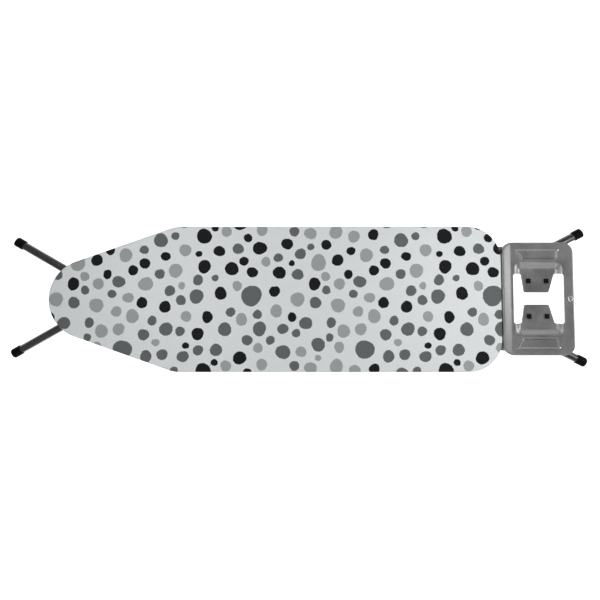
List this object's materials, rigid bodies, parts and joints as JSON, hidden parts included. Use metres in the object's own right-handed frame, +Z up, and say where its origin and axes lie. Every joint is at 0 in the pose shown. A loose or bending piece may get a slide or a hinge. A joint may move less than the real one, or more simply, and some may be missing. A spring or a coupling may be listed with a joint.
{
  "type": "ironing board",
  "caption": "Folding ironing board with a padded dotted cotton cover, crossed tubular legs on a slide, a height comb and a stamped steel iron rest, folded flat.",
  "frame": {"origin": "on the floor below the axle where the legs cross, board folded and lying on its foot caps", "axes": "+X along the board from the nose to the iron rest, +Y across the board, +Z up through the cover"},
  "size_m": [1.5745, 0.384, 0.0736],
  "materials": {
    "cotton": "plain woven cotton, printed with dots",
    "foam": "felted pad",
    "elastic": "braided elastic",
    "mesh": "expanded sheet, painted satin",
    "frame": "satin paint",
    "tray": "satin grey paint on pressed sheet",
    "bright": "plated",
    "zinc": "zinc plated",
    "leg": "dark metallic satin paint",
    "nylon": "natural nylon",
    "rubber": "matte",
    "black_plastic": "fine satin moulding"
  },
  "bodies": {
    "board": {"cover": "cotton", "pad": "foam", "mesh_panel": "mesh", "rim_tube": "frame", "hem_elastic": "elastic", "cross_channel_1": "frame", "cross_channel_2": "frame", "cross_channel_3": "frame", "cross_channel_4": "frame", "cross_channel_5": "frame", "slide_rail_left": "frame", "slide_rail_right": "frame", "pivot_bracket_left": "frame", "pivot_bracket_right": "frame", "iron_tray": "tray", "tray_arm_left": "frame", "tray_arm_right": "frame", "iron_bumper_1": "rubber", "iron_bumper_2": "rubber", "iron_bumper_3": "rubber", "iron_bumper_4": "rubber", "tray_rivet_left": "bright", "tray_rivet_right": "bright", "cable_socket": "bright", "lever_lug_front": "frame", "lever_lug_rear": "frame", "lever_spring": "zinc"},
    "inner_leg": {"inner_tube_left": "leg", "inner_tube_right": "leg", "inner_brace": "leg", "pivot_bar": "zinc", "pivot_cap_left": "zinc", "pivot_cap_right": "zinc", "axle_bolt": "zinc", "axle_nut": "zinc", "axle_sleeve": "zinc", "axle_washer_left": "nylon", "axle_washer_right": "nylon", "inner_plug_left": "black_plastic", "inner_plug_right": "black_plastic", "inner_foot_left": "black_plastic", "inner_foot_right": "black_plastic"},
    "outer_leg": {"outer_tube_left": "leg", "outer_tube_right": "leg", "outer_brace": "leg", "slider_bar": "zinc", "slider_bush_left": "nylon", "slider_bush_right": "nylon", "slider_cap_left": "zinc", "slider_cap_right": "zinc", "outer_plug_left": "black_plastic", "outer_plug_right": "black_plastic", "outer_foot_left": "black_plastic", "outer_foot_right": "black_plastic"},
    "height_lever": {"lever_rod": "zinc", "height_comb": "zinc", "lever_wire": "zinc", "lever_grip": "black_plastic"}
  },
  "joints": [
    {"name": "leg_fold", "type": "hinge", "parent": "board", "child": "inner_leg", "pos_m": [0.4799, 0, 0.03937], "axis": [0, -1, 0], "range_deg": [0, 41.8]},
    {"name": "leg_cross", "type": "hinge", "parent": "inner_leg", "child": "outer_leg", "pos_m": [0, 0, 0.02931], "axis": [0, 1, 0], "range_deg": [0, 84]},
    {"name": "height_lever", "type": "hinge", "parent": "board", "child": "height_lever", "pos_m": [0, 0.14, 0.03937], "axis": [1, 0, 0], "range_deg": [-9.5, 4], "stiffness_Nm_per_rad": 1}
  ],
  "couplings": [
    {"joint": "leg_cross", "follows": "leg_fold", "ratio": 2}
  ]
}
